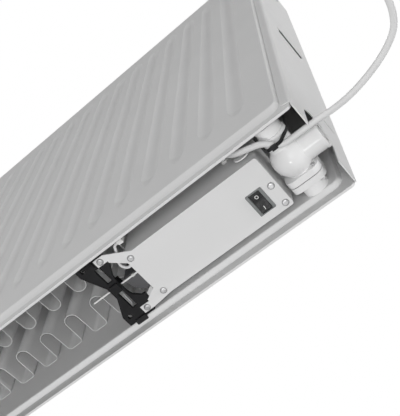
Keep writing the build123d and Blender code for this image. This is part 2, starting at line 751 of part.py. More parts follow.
def fan_rotor(number, x, y):
    """A hub with a blind bore over the pin, and pitched blades."""
    base = FAN_Z + FAN_BASE_T + SEAT_GAP
    blade_tip = FAN_BORE_R - FAN_TIP_GAP
    with BuildPart() as rotor:
        with Locations((x, y, base + FAN_HUB_T / 2)):
            with PolarLocations(FAN_HUB_R + (blade_tip - FAN_HUB_R) / 2, BLADE_COUNT):
                reach = blade_tip - FAN_HUB_R + 2 * FAN_TIP_GAP
                Box(reach, BLADE_CHORD, BLADE_T, rotation=(BLADE_ANGLE, 0, 0))
        with BuildSketch(Plane.XY.offset(base)):
            with Locations((x, y)):
                Circle(blade_tip)
        extrude(amount=FAN_HUB_T, mode=Mode.INTERSECT)
        with BuildSketch(Plane.XY.offset(base)):
            with Locations((x, y)):
                Circle(FAN_HUB_R)
        extrude(amount=FAN_HUB_T)
        with BuildSketch(Plane.XY.offset(base)):
            with Locations((x, y)):
                Circle(FAN_PIN_R + FIT_GAP)
        extrude(amount=FAN_HUB_T - 2 * RAIL_T, mode=Mode.SUBTRACT)
    save(rotor, f"fan_rotor_{number}")


for fan_number, (fan_x, fan_y) in enumerate(FAN_SPOTS, start=1):
    fan_frame(fan_number, fan_x, fan_y)
    fan_rotor(fan_number, fan_x, fan_y)

with BuildPart() as fan_screws:
    with BuildSketch(Plane.XY.offset(RAIL_Z)):
        with Locations(*FAN_SPOTS):
            with GridLocations(FAN_SCREW_SPACING, FAN_SCREW_SPACING, 2, 2):
                Circle(FAN_SCREW_R)
    extrude(amount=RAIL_T + FAN_T)
    with BuildSketch(Plane.XY.offset(FAN_Z + FAN_T)):
        with Locations(*FAN_SPOTS):
            with GridLocations(FAN_SCREW_SPACING, FAN_SCREW_SPACING, 2, 2):
                Circle(2 * FAN_SCREW_R)
    extrude(amount=FAN_SCREW_R)
save(fan_screws, "fan_screws")

# Fan lead, straight up between the two rows of convector loops
LEAD_R = 2.5
LEAD_X = 150.0
with BuildPart() as fan_lead:
    with BuildSketch(Plane.XY.offset(BOX_TOP)):
        with Locations((RIGHT - LEAD_X, MID)):
            Circle(LEAD_R)
    extrude(amount=RAIL_Z - BOX_TOP)
save(fan_lead, "fan_lead")

# Control box: bottom plate with two arms, and the shell above it
BOX_MID_X = RIGHT - BOX_RIGHT - BOX_LENGTH / 2
BOX_MID_Y = MID + BOX_BACK_OF_MID
BOX_LEFT_X = RIGHT - BOX_LEFT
BOX_FRONT_Y = MID + BOX_FRONT
BOX_REAR_Y = BOX_FRONT_Y + BOX_DEPTH
PLATE_TOP = BOX_BOTTOM + BOX_T
BOX_SCREWS = [
    (BOX_LEFT_X + SCREW_INSET_X, BOX_FRONT_Y + SCREW_INSET_FRONT),
    (BOX_LEFT_X + SCREW_INSET_X, BOX_REAR_Y - SCREW_INSET_REAR),
    (BOX_LEFT_X + BOX_LENGTH - SCREW_INSET_X, BOX_FRONT_Y + SCREW_ROW_RIGHT_SHARE * BOX_DEPTH),
    (BOX_LEFT_X + BOX_LENGTH - SCREW_INSET_X, BOX_REAR_Y - SCREW_INSET_REAR),
]
ARM_SCREW_X = BOX_LEFT_X - ARM_SCREW_FROM_BOX
ARM_SCREWS = [(ARM_SCREW_X, MID + ARM_FRONT_Y), (ARM_SCREW_X, MID + ARM_REAR_Y)]
SWITCH_AT = (RIGHT - SWITCH_X, MID + SWITCH_Y)


def arm_outline(screw, box_edge, inward, root_depth):
    """A flat arm from the box's left edge to a tab round its screw."""
    x, y = screw
    outer = y - inward * TAB_HALF
    inner = y + inward * TAB_HALF
    Polyline(
        (x - TAB_SIDE, outer),
        (x + TAB_SIDE, outer),
        (BOX_LEFT_X + ARM_ROOT, box_edge),
        (BOX_LEFT_X + ARM_ROOT, box_edge + inward * (root_depth + TAB_HALF)),
        (BOX_LEFT_X, box_edge + inward * root_depth),
        (x + TAB_SIDE, inner + inward * TAB_HALF / 2),
        (x + TAB_SIDE, inner),
        (x - TAB_SIDE, inner),
        close=True,
    )


with BuildPart() as box_plate:
    with BuildSketch(Plane.XY.offset(BOX_BOTTOM)):
        with Locations((BOX_MID_X, BOX_MID_Y)):
            RectangleRounded(BOX_LENGTH, BOX_DEPTH, BOX_CORNER)
        with BuildLine():
            arm_outline(ARM_SCREWS[0], BOX_FRONT_Y, 1, 2 * TAB_HALF)
        make_face()
        with BuildLine():
            arm_outline(ARM_SCREWS[1], BOX_REAR_Y, -1, LIP_DEPTH)
        make_face()
        with Locations(*BOX_SCREWS, *ARM_SCREWS):
            Circle(SCREW_R + FIT_GAP, mode=Mode.SUBTRACT)
        with Locations(SWITCH_AT):
            Rectangle(POCKET_W + 3 * BOX_T, POCKET_L + BOX_T, mode=Mode.SUBTRACT)
    extrude(amount=BOX_T)
    edge_start = Vector(ARM_SCREWS[1][0] + TAB_SIDE, ARM_SCREWS[1][1] - 1.5 * TAB_HALF)
    edge_end = Vector(BOX_LEFT_X, BOX_REAR_Y - LIP_DEPTH)
    edge_run = edge_end - edge_start
    lip_start = edge_start + edge_run * ((LIP_FROM_SCREW - TAB_SIDE) / (BOX_LEFT_X - edge_start.X))
    lip_end = edge_start + edge_run * (1 - BOX_T / (BOX_LEFT_X - edge_start.X))
    lip_plane = Plane(
        (lip_end.X, lip_end.Y, BOX_BOTTOM),
        x_dir=(edge_run.Y, -edge_run.X, 0),
        z_dir=(-edge_run.X, -edge_run.Y, 0),
    )
    with BuildSketch(lip_plane):
        with BuildLine():
            Polyline(
                (-BOX_T, 0),
                (0, 0),
                (LIP_LEAN, LIP_RISE - BOX_T / 2),
                (LIP_LEAN - BOX_T, LIP_RISE),
                (-BOX_T, BOX_T),
                close=True,
            )
        make_face()
    extrude(amount=(lip_end - lip_start).length)
save(box_plate, "box_plate")

SWITCH_TOP = BOX_BOTTOM + SWITCH_DEPTH
with BuildPart() as box_shell:
    with BuildSketch(Plane.XY.offset(PLATE_TOP)):
        with Locations((BOX_MID_X, BOX_MID_Y)):
            RectangleRounded(BOX_LENGTH, BOX_DEPTH, BOX_CORNER)
    extrude(amount=BOX_TOP - PLATE_TOP)
    with BuildSketch(Plane.XY.offset(PLATE_TOP)):
        with Locations((BOX_MID_X, BOX_MID_Y)):
            RectangleRounded(BOX_LENGTH - 2 * BOX_T, BOX_DEPTH - 2 * BOX_T, BOX_CORNER - BOX_T)
    extrude(amount=BOX_TOP - PLATE_TOP - BOX_T, mode=Mode.SUBTRACT)
    with BuildSketch(Plane.XY.offset(PLATE_TOP)):
        with Locations(*BOX_SCREWS):
            Circle(POST_R)
            Circle(SCREW_R + FIT_GAP, mode=Mode.SUBTRACT)
    extrude(amount=BOX_TOP - PLATE_TOP - BOX_T)
    with BuildSketch(Plane.XY.offset(BOX_TOP)):
        with Locations((RIGHT - LEAD_X, MID)):
            Circle(LEAD_R)
    extrude(amount=-BOX_T, mode=Mode.SUBTRACT)
save(box_shell, "box_shell")


def domed_screws(label, spots, bottom):
    """Pan-headed screws from below, their heads against the underside at this height."""
    with BuildPart() as screws:
        with BuildSketch(Plane.XY.offset(bottom)):
            with Locations(*spots):
                Circle(SCREW_HEAD_R)
        extrude(amount=-SCREW_HEAD_T)
        fillet(screws.edges().group_by(Axis.Z)[0], SCREW_HEAD_T * 0.8)
        with BuildSketch(Plane.XY.offset(bottom)):
            with Locations(*spots):
                Circle(SCREW_R)
        extrude(amount=SCREW_LENGTH if spots is BOX_SCREWS else BOX_T + BRACKET_T)
    save(screws, label)


domed_screws("box_screws", BOX_SCREWS, BOX_BOTTOM)
domed_screws("bracket_screws", ARM_SCREWS, BOX_BOTTOM)

# Rocker switch
PIVOT_Z = BOX_BOTTOM + ROCKER_PIVOT_UP
with BuildPart() as switch_body:
    with BuildSketch(Plane.XY.offset(BOX_BOTTOM - BEZEL_T)):
        with Locations(SWITCH_AT):
            RectangleRounded(BEZEL_W, BEZEL_L, BEZEL_T / 2)
    extrude(amount=BEZEL_T)
    with BuildSketch(Plane.XY.offset(BOX_BOTTOM)):
        with Locations(SWITCH_AT):
            Rectangle(POCKET_W + 3 * BOX_T - 2 * FIT_GAP, POCKET_L + BOX_T - 2 * FIT_GAP)
    extrude(amount=SWITCH_DEPTH)
    with BuildSketch(Plane.XY.offset(BOX_BOTTOM - BEZEL_T)):
        with Locations(SWITCH_AT):
            Rectangle(POCKET_W, POCKET_L)
    extrude(amount=BEZEL_T + POCKET_DEPTH, mode=Mode.SUBTRACT)
    with BuildSketch(along_x(SWITCH_AT[0], SWITCH_AT[1], PIVOT_Z)):
        Circle(ROCKER_PIN_R + FIT_GAP)
    extrude(amount=POCKET_W / 2 + BOX_T, both=True, mode=Mode.SUBTRACT)
save(switch_body, "switch_body")

with BuildPart() as switch_rocker:
    lean = radians(ROCKER_TILT)
    rocker_plane = Plane(
        (SWITCH_AT[0], SWITCH_AT[1], PIVOT_Z), x_dir=(0, cos(lean), -sin(lean)), z_dir=(1, 0, 0)
    )
    lip = ROCKER_PIVOT_UP + BEZEL_T
    dish = ROCKER_HALF_L * tan(lean)
    with BuildSketch(rocker_plane):
        with BuildLine():
            Polyline(
                (-ROCKER_HALF_L, -lip - dish / 2),
                (0, -lip + dish / 2),
                (ROCKER_HALF_L, -lip - dish / 2),
                (ROCKER_HALF_L - 1, -ROCKER_PIN_R),
                (ROCKER_HALF_L / 2, 2 * ROCKER_PIN_R),
                (-ROCKER_HALF_L / 2, 2 * ROCKER_PIN_R),
                (1 - ROCKER_HALF_L, -ROCKER_PIN_R),
                close=True,
            )
        make_face()
    extrude(amount=POCKET_W / 2 - SEAT_GAP, both=True)
    with BuildSketch(rocker_plane):
        Circle(ROCKER_PIN_R)
    extrude(amount=POCKET_W / 2 + BOX_T - SEAT_GAP, both=True)
save(switch_rocker, "switch_rocker")

with BuildPart() as switch_terminals:
    with BuildSketch(Plane.XY.offset(SWITCH_TOP)):
        with Locations(SWITCH_AT):
            with GridLocations(0, POCKET_L / 3, 1, 3):
                Rectangle(POCKET_W / 2, SCREW_R / 2)
    extrude(amount=POCKET_DEPTH / 2)
save(switch_terminals, "switch_terminals")

# Electronics inside the box
BOARD_T = 1.6
BOARD_Z = BOX_TOP - BOX_T - 6.0
with BuildPart() as circuit_board:
    board_x = BOX_MID_X - BOX_LENGTH / 10
    board_l = BOX_LENGTH * 0.55
    with BuildSketch(Plane.XY.offset(BOARD_Z)):
        with Locations((board_x, BOX_MID_Y)):
            Rectangle(board_l, BOX_DEPTH - 10 * BOX_T)
    extrude(amount=BOARD_T)
    with BuildSketch(Plane.XY.offset(BOARD_Z + BOARD_T)):
        with Locations((board_x, BOX_MID_Y)):
            with GridLocations(board_l - 4 * POST_R, BOX_DEPTH - 10 * BOX_T - 3 * POST_R, 2, 2):
                Circle(POST_R)
    extrude(amount=BOX_TOP - BOX_T - BOARD_Z - BOARD_T)
save(circuit_board, "circuit_board")

with BuildPart() as power_supply:
    with BuildSketch(Plane.XY.offset(BOARD_Z)):
        with Locations((board_x - board_l / 5, BOX_MID_Y)):
            RectangleRounded(board_l / 2.4, BOX_DEPTH / 2, BOX_CORNER)
    extrude(amount=-22)
save(power_supply, "power_supply")

with BuildPart() as terminal_block:
    with BuildSketch(Plane.XY.offset(BOARD_Z)):
        with Locations((board_x + board_l / 4, BOX_MID_Y)):
            Rectangle(12, BOX_DEPTH / 2)
            with GridLocations(0, BOX_DEPTH / 8, 1, 3):
                Circle(SCREW_R, mode=Mode.SUBTRACT)
    extrude(amount=-12)
save(terminal_block, "terminal_block")

# Dark moulded cover on the box's left end, where its inner wiring leaves
WIRING_W = 20.0
WIRING_FROM = -2.7
WIRING_TO = 20.3
WIRING_Z = 23.0
with BuildPart() as wiring_cover:
    with BuildSketch(Plane.XY.offset(WIRING_Z)):
        with Locations((BOX_LEFT_X - WIRING_W / 2, MID + (WIRING_FROM + WIRING_TO) / 2)):
            Rectangle(WIRING_W, WIRING_TO - WIRING_FROM)
    extrude(amount=CONVECTOR_BOTTOM - SEAT_GAP - WIRING_Z)
    outer_corners = wiring_cover.edges().filter_by(Axis.Z).group_by(Axis.X)[0]
    fillet(outer_corners.sort_by(Axis.Y)[-1], WIRING_W * 0.8)
save(wiring_cover, "wiring_cover")

# Black bracket that hooks over both panels' inner shoulders and carries the box
HUB_X = BOX_LEFT_X - HUB_FROM_BOX
BRACKET_TOP = PLATE_TOP + BRACKET_T
REACH = INNER_FACE - SEAT_GAP
SHOULDER_Z = INNER_CREASE + INNER_SLOPE_RUN - SEAT_GAP
with BuildPart() as support_bracket:
    with BuildSketch(Plane.XY.offset(PLATE_TOP)):
        with BuildLine(Plane((HUB_X, MID, PLATE_TOP))):
            Polyline(
                (-WEB_LEFT, -REACH),
                (WEB_RIGHT, -REACH),
                (WEB_RIGHT + 2, 12 - REACH),
                (WAIST_RIGHT + 1, -2 * WAIST_HALF_L),
                (WAIST_RIGHT, -WAIST_HALF_L),
                (WAIST_RIGHT, WAIST_HALF_L),
                (WAIST_RIGHT + 1.5, 13),
                (WEB_EAR - TAB_HALF, 19.3),
                (WEB_EAR, 19.7),
                (WEB_EAR - 0.8, 28),
                (WEB_RIGHT, 29),
                (WEB_RIGHT, REACH),
                (-WEB_LEFT, REACH),
                (-WEB_LEFT, REACH - 12.5),
                (-WAIST_LEFT, WAIST_HALF_L),
                (-WAIST_LEFT, -WAIST_HALF_L),
                (-WEB_LEFT, 8 - REACH),
                close=True,
            )
        make_face()
        for low, high in ((FRONT_SLOT_FROM, FRONT_SLOT_TO), (REAR_SLOT_FROM, REAR_SLOT_TO)):
            with Locations((HUB_X - BRACKET_SLOT_SHIFT, MID + (low + high) / 2)):
                Rectangle(BRACKET_SLOT_W, high - low, mode=Mode.SUBTRACT)
        hole_x = HUB_X - BRACKET_HOLE_X
        with Locations((hole_x, MID - REACH + FRONT_HOLE_INSET), (hole_x, MID + REACH - REAR_HOLE_INSET)):
            Circle(BRACKET_HOLE_R, mode=Mode.SUBTRACT)
        with Locations(*ARM_SCREWS):
            Circle(SCREW_R + FIT_GAP, mode=Mode.SUBTRACT)
    extrude(amount=BRACKET_T)
    with BuildSketch(Plane.XY.offset(PLATE_TOP - HUB_DROP)):
        with Locations((HUB_X, MID + HUB_Y)):
            Rectangle(HUB_W, HUB_L)
    extrude(amount=HUB_DROP + HUB_RISE)
    with BuildSketch(Plane.XY.offset(PLATE_TOP)):
        with Locations((HUB_X - BRACKET_BOSS_X, MID - REACH + BRACKET_BOSS_INSET)):
            Circle(BRACKET_BOSS_R)
    extrude(amount=-BRACKET_BOSS_DROP)
    for hook_side in (-1, 1):
        hook_from = HUB_X - (FRONT_HOOK_X if hook_side < 0 else REAR_HOOK_X)
        reach = FRONT_HOOK_REACH if hook_side < 0 else REAR_HOOK_REACH
        tip_z = SHOULDER_Z - reach * INNER_SLOPE_RUN / INNER_RISE
        with BuildSketch(Plane((hook_from, MID, 0), x_dir=(0, hook_side, 0), z_dir=(hook_side, 0, 0))):
            with BuildLine():
                Polyline(
                    (REACH, BRACKET_TOP),
                    (REACH, SHOULDER_Z),
                    (REACH + reach, tip_z),
                    (REACH + reach - HOOK_TIP_T, tip_z - HOOK_TIP_T),
                    (REACH - HOOK_ROOT_T, SHOULDER_Z - HOOK_ROOT_T + BOX_T),
                    (REACH - HOOK_ROOT_T, BRACKET_TOP),
                    close=True,
                )
            make_face()
        extrude(amount=hook_side * HOOK_W)
    with BuildSketch(along_x(HUB_X - HUB_W, MID + ROD_Y, ROD_Z)):
        Circle(ROD_R + FIT_GAP)
    extrude(amount=2 * HUB_W, mode=Mode.SUBTRACT)
save(support_bracket, "support_bracket")

# Sensor rod, its collar and its lead to the front panel
with BuildPart() as sensor_probe:
    with BuildSketch(along_x(BOX_LEFT_X, MID + ROD_Y, ROD_Z)):
        Circle(ROD_R)
    extrude(amount=-ROD_LENGTH)
    fillet(sensor_probe.edges().group_by(Axis.X)[0], ROD_R * 0.8)
save(sensor_probe, "sensor_probe")

with BuildPart() as probe_collar:
    with BuildSketch(along_x(BOX_LEFT_X - COLLAR_GAP, MID + ROD_Y, ROD_Z)):
        Circle(COLLAR_R_OUT)
        Circle(ROD_R, mode=Mode.SUBTRACT)
    extrude(amount=COLLAR_L)
save(probe_collar, "probe_collar")


def arc_radii(route, share=0.45):
    """The largest tangent arc at each inner point that leaves room on both of its runs."""
    points = [Vector(*p) for p in route]
    radii = []
    for before, here, after in zip(points, points[1:], points[2:]):
        turn = radians((here - before).get_angle(after - here))
        shorter = min((here - before).length, (after - here).length)
        radii.append(share * shorter / tan(turn / 2))
    return radii


def tube(label, route, radius):
    """A round lead along straight runs joined by tangent arcs."""
    radii = arc_radii(route)
    with BuildPart() as lead:
        with BuildLine() as path:
            FilletPolyline(*route, radius=radii)
        start = Plane(path.line @ 0, z_dir=path.line % 0)
        with BuildSketch(start):
            Circle(radius)
        sweep()
    length = path.wire().length
    ratio = lead.part.volume / (pi * radius**2 * length)
    shown = [round(r, 1) for r in radii]
    print(label, "radii", shown, "length", round(length, 1), "volume ratio", round(ratio, 4))
    save(lead, label)
    return length


def from_corner(points):
    """Points given from the right cover's face and the middle plane."""
    return [(RIGHT + x, MID + y, z) for x, y, z in points]


SENSOR_X = BOX_LEFT - SENSOR_FROM_BOX
sensor_route = from_corner([
    (-BOX_LEFT, -10.5, ROD_Z + 0.5),
    (-BOX_LEFT - 7.0, -10.5, ROD_Z + 0.5),
    (-BOX_LEFT - 10.5, -16.5, ROD_Z),
    (-BOX_LEFT - 8.5, -24.0, ROD_Z),
    (-BOX_LEFT - 3.0, -31.0, ROD_Z),
    (-BOX_LEFT + 0.5, SENSOR_Y, ROD_Z),
    (-SENSOR_X - SENSOR_W / 2, SENSOR_Y, ROD_Z),
])
tube("sensor_lead", sensor_route, SENSOR_LEAD_R)

with BuildPart() as panel_sensor:
    with BuildSketch(along_y(RIGHT - SENSOR_X, MID - INNER_FACE, ROD_Z)):
        Rectangle(SENSOR_W, SENSOR_H)
    extrude(amount=SENSOR_T)
    fillet(panel_sensor.edges().group_by(Axis.Y)[-1], SENSOR_LEAD_R / 2)
save(panel_sensor, "panel_sensor")

# Mains lead inside the radiator, held by the stud and the cable tie
GLAND_X = 92.0
GLAND_Z = 54.5
GLAND_R = 4.8
GLAND_L = 2.5
with BuildPart() as cable_gland:
    with BuildSketch(along_y(RIGHT - GLAND_X, BOX_FRONT_Y, GLAND_Z)):
        RegularPolygon(GLAND_R, 6)
        Circle(CORD_R, mode=Mode.SUBTRACT)
    extrude(amount=-GLAND_L)
save(cable_gland, "cable_gland")

TIE_Y = -25.7
CORD_Y = -20.4
EXIT_POINT = (-12.0, CORD_Y, 9.8)
inner_route = from_corner([
    (-GLAND_X, BOX_FRONT, GLAND_Z),
    (-GLAND_X, BOX_FRONT - 8.8, GLAND_Z),
    (-GLAND_X + 3.0, -37.4, GLAND_Z - 7.0),
    (-GLAND_X + 10.0, -37.4, GLAND_Z - 20.0),
    (-73.0, -36.8, 21.6),
    (-58.8, -36.2, 14.0),
    (-44.0, -33.6, 10.0),
    (-32.5, CORD_Y, 9.8),
    EXIT_POINT,
])
tube("mains_inner_lead", inner_route, CORD_R)

TIE_WIDTH = 3.2
TIE_T = 1.2
CORD_CROSSING = (-36.8, 10.0)
CROSSING_HALF = 4.4
CROSSING_R = CORD_R + 0.5
with BuildPart() as cable_tie:
    tie_plane = Plane((RIGHT, MID + TIE_Y - TIE_WIDTH / 2, 0), x_dir=(1, 0, 0), z_dir=(0, -1, 0))
    low_z = CORD_CROSSING[1]
    held = [(-PORT_INSET, PORT_Z, NECK_R)]
    for spread in (-CROSSING_HALF, CROSSING_HALF):
        held.append((CORD_CROSSING[0] + spread, low_z, CROSSING_R))
    with BuildSketch(tie_plane):
        for extra, how in ((SEAT_GAP + TIE_T, Mode.ADD), (SEAT_GAP, Mode.SUBTRACT)):
            with BuildSketch(mode=Mode.PRIVATE) as band:
                for x, z, r in held:
                    with Locations((x, z)):
                        Circle(r + extra)
                make_hull()
            add(band.sketch, mode=how)
    extrude(amount=-TIE_WIDTH)
    head_z = low_z - CROSSING_R - SEAT_GAP - TIE_T / 2
    with Locations((RIGHT + CORD_CROSSING[0], MID + TIE_Y, head_z)):
        Box(6, TIE_WIDTH + 1.6, 3, align=(Align.CENTER, Align.CENTER, Align.MAX))
save(cable_tie, "cable_tie")

# Free mains cord: from the tie, down to the floor and out to the coil
FLOOR_Z = CORD_R + 0.05
BASE_Z = CORD_R + TIE_BAND_T + SEAT_GAP
TOP_Z = BASE_Z + COIL_LAYER_RISE
COIL_OUTER_R = COIL_INNER_R + COIL_HALF_TURNS * COIL_PITCH / 2
cord_route = from_corner([
    EXIT_POINT,
    (6.0, CORD_Y, 9.8),
    (24.0, -19.9, 6.6),
    (44.0, -22.4, FLOOR_Z),
    (66.0, -27.3, FLOOR_Z),
    (86.0, -34.6, FLOOR_Z),
    (101.0, -45.6, FLOOR_Z),
    (110.5, -58.5, FLOOR_Z),
    (113.9, -73.0, FLOOR_Z),
    (COIL_X - COIL_OUTER_R, -93.0, BASE_Z),
    (COIL_X - COIL_OUTER_R, COIL_Y, BASE_Z),
])
run_length = tube("cord_run", cord_route, CORD_R)


# Coil: five half turns in, a climbing half turn, five half turns out
def coil_stations():
    """Joints of the half turns in the coil's own frame, on alternate sides of its centre."""
    stations = []
    step = COIL_PITCH / 2
    for k in range(COIL_HALF_TURNS + 1):
        stations.append((COIL_OUTER_R - k * step, BASE_Z))
    for k in range(COIL_HALF_TURNS + 1):
        stations.append((COIL_INNER_R + k * step, TOP_Z))
    return [((-1) ** (k + 1) * r, 0, z) for k, (r, z) in enumerate(stations)]


stations = coil_stations()
turn_sides = [(-1) ** (k + 1) for k in range(len(stations) - 1)]
with BuildPart() as cord_coil:
    with BuildLine(Plane((RIGHT + COIL_X, MID + COIL_Y, 0))) as coil_path:
        straight = 2 * CORD_R
        for here, there, bow in zip(stations, stations[1:], turn_sides):
            a, b = Vector(*here), Vector(*there)
            middle = (a + b) / 2 + Vector(0, bow * (b - a).length / 2, 0)
            ThreePointArc(here, tuple(middle), there)
        last = stations[-1]
        out = -turn_sides[-1] * straight
        Line(last, (last[0], out, last[2]))
    with BuildSketch(Plane(coil_path.line @ 0, z_dir=coil_path.line % 0)):
        Circle(CORD_R)
    sweep()
coil_length = coil_path.wire().length
coil_ratio = cord_coil.part.volume / (pi * CORD_R**2 * coil_length)
print("coil length", round(coil_length, 1), "volume ratio", round(coil_ratio, 4))
save(cord_coil, "cord_coil")


def least_gap():
    """Least gap of the coil's tube to itself, on points more than a third of a turn apart."""
    count = 1100
    coil_wire = coil_path.wire()
    points = [coil_wire.position_at(k / count) for k in range(count + 1)]
    apart = int(count * 60 / coil_length)
    nearest = min(
        (points[i] - points[j]).length
        for i in range(0, count + 1, 2)
        for j in range(i + apart, count + 1)
    )
    return nearest - 2 * CORD_R


print("coil gap to itself", round(least_gap(), 2))

with BuildPart() as coil_tie:
    inner_r = COIL_INNER_R - CORD_R - SEAT_GAP
    outer_r = COIL_OUTER_R + CORD_R + SEAT_GAP
    band_height = 2 * (CORD_R + SEAT_GAP) + COIL_LAYER_RISE
    band_x = RIGHT + COIL_X + TIE_BAND_W / 2
    band_y = MID + COIL_Y - (inner_r + outer_r) / 2
    band_z = TIE_BAND_T + band_height / 2
    with BuildSketch(Plane((band_x, band_y, band_z), x_dir=(0, 1, 0), z_dir=(1, 0, 0))):
        span = outer_r - inner_r
        RectangleRounded(span + 2 * TIE_BAND_T, band_height + 2 * TIE_BAND_T, 2 * TIE_BAND_T)
        RectangleRounded(span, band_height, TIE_BAND_T, mode=Mode.SUBTRACT)
    extrude(amount=-TIE_BAND_W)
save(coil_tie, "coil_tie")

# Last stretch of cord and the two-pin plug beside the coil
tail_x = COIL_X + last[0]
tail_y = COIL_Y + out
PLUG_AXIS_Z = PLUG_BODY_T / 2
toward = 1 if out > 0 else -1
tail_route = from_corner([
    (tail_x, tail_y, TOP_Z),
    (tail_x, tail_y + toward * TAIL_RUN * 0.3, TOP_Z),
    (tail_x, tail_y + toward * TAIL_RUN * 0.7, PLUG_AXIS_Z),
    (tail_x, tail_y + toward * TAIL_RUN, PLUG_AXIS_Z),
])
tail_length = tube("cord_tail", tail_route, CORD_R)
print("whole free cord", round(run_length + coil_length + tail_length, 1))

plug_from = (RIGHT + tail_x, MID + tail_y + toward * TAIL_RUN, PLUG_AXIS_Z)
plug_rear = Plane(plug_from, x_dir=(1, 0, 0), z_dir=(0, toward, 0))
with BuildPart() as plug_body:
    with BuildSketch(plug_rear):
        RectangleRounded(PLUG_BODY_T, PLUG_BODY_T * 0.8, PLUG_BODY_T * 0.3)
    with BuildSketch(plug_rear.offset(PLUG_BODY_L * 0.6)):
        RectangleRounded(PLUG_BODY_W, PLUG_BODY_T, PLUG_BODY_T * 0.4)
    with BuildSketch(plug_rear.offset(PLUG_BODY_L)):
        RectangleRounded(PLUG_BODY_W, PLUG_BODY_T, PLUG_BODY_T * 0.4)
    loft(ruled=True)
save(plug_body, "plug_body")

with BuildPart() as plug_pins:
    with BuildSketch(plug_rear.offset(PLUG_BODY_L)):
        with GridLocations(PLUG_PIN_SPACING, 0, 2, 1):
            Circle(PLUG_PIN_R)
    extrude(amount=PLUG_PIN_L)
    tips = plug_pins.edges().group_by(Axis((0, 0, 0), (0, toward, 0)))[-1]
    fillet(tips, PLUG_PIN_R * 0.8)
save(plug_pins, "plug_pins")
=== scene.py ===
import json
from math import cos, pi, radians, sin, tau

import bmesh
import bpy
from mathutils import Matrix, Vector


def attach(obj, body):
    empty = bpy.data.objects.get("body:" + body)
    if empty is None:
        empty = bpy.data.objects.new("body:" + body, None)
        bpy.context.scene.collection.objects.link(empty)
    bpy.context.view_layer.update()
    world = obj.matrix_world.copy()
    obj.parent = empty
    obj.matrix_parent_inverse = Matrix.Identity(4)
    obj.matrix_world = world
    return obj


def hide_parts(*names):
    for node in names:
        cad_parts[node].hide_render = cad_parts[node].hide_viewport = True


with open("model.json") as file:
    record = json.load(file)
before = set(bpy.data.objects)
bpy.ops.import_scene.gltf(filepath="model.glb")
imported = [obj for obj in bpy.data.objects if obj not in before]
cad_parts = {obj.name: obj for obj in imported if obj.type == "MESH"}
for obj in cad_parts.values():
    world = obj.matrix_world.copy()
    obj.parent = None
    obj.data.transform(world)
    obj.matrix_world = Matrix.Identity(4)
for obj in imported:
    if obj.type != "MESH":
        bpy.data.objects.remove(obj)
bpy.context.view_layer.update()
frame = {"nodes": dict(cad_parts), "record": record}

nodes = frame["nodes"]
MM = 0.001

# Sizes and places shared with the part's source, in mm; x is measured from the right end, y from the middle
RIGHT = 494.0
MID = -5.0
CORD_R = 3.0
FLOOR_Z = 3.05
BASE_Z = 4.3
TOP_Z = 11.4
COIL_CENTRE = (157.0, -112.0)
COIL_INNER_R = 24.0
COIL_OUTER_R = 43.5
COIL_HALF_TURNS = 5
COIL_STEPS = 8
SWITCH_AT = (RIGHT - 82.0, MID + 13.2)
PIVOT_Z = 18.0
ROCKER_TILT = radians(9.0)
ROCKER_HALF_L = 10.3
ROCKER_LIP = 5.6

# Machined rims of the threaded sockets: halfway between both ends, and where the rims begin from there
SOCKETS_MIDDLE = 2.0 * MM
SOCKET_RIM_AT = 490.2 * MM
RIM_BLEND = 0.5 * MM

# Camera, found by fitting the part's straight edges to the photograph
CAMERA_AT = Vector((0.5792, -0.2675, -0.6209))
CAMERA_AHEAD = Vector((-0.30128, 0.34272, 0.88982))
CAMERA_RIGHT = Vector((0.76311, 0.64620, 0.00949))
LENS = 65.68
SENSOR = 36.0


def from_corner(points):
    """Points measured from the right end and the middle of the depth, in mm, as places in metres."""
    return [Vector((RIGHT + x, MID + y, z)) * MM for x, y, z in points]


def link(obj):
    bpy.context.scene.collection.objects.link(obj)
    return obj


def make_camera():
    """The fitted camera, as a matrix of its right, up and backward directions."""
    data = bpy.data.cameras.new("camera")
    data.lens = LENS
    data.sensor_width = SENSOR
    data.sensor_fit = "AUTO"
    data.clip_start = 0.01
    camera = link(bpy.data.objects.new("camera", data))
    up = CAMERA_RIGHT.cross(CAMERA_AHEAD)
    turn = Matrix((CAMERA_RIGHT, up, -CAMERA_AHEAD)).transposed()
    camera.matrix_world = Matrix.Translation(CAMERA_AT) @ turn.to_4x4()
    bpy.context.scene.camera = camera


make_camera()


# Mains cord
def coil_points():
    """Turns of the put-away coil: five half turns in, one that climbs, and five half turns out."""
    step = (COIL_OUTER_R - COIL_INNER_R) / COIL_HALF_TURNS
    ends = [(COIL_OUTER_R - k * step, BASE_Z) for k in range(COIL_HALF_TURNS + 1)]
    ends += [(COIL_INNER_R + k * step, TOP_Z) for k in range(COIL_HALF_TURNS + 1)]
    ends = [Vector(((-1) ** (k + 1) * r, 0.0, z)) for k, (r, z) in enumerate(ends)]
    reach = 1 / cos(pi / (2 * COIL_STEPS))
    points = []
    for k, (start, end) in enumerate(zip(ends, ends[1:])):
        middle = (start + end) / 2
        arm = start - middle
        bow = (-1) ** (k + 1) * abs(arm.x)
        for j in range(COIL_STEPS):
            angle = (j + 0.5) * pi / COIL_STEPS
            x = middle.x + arm.x * cos(angle) * reach
            y = bow * sin(angle) * reach
            z = middle.z + arm.z * cos(angle)
            points.append((COIL_CENTRE[0] + x, COIL_CENTRE[1] + y, z))
    return points


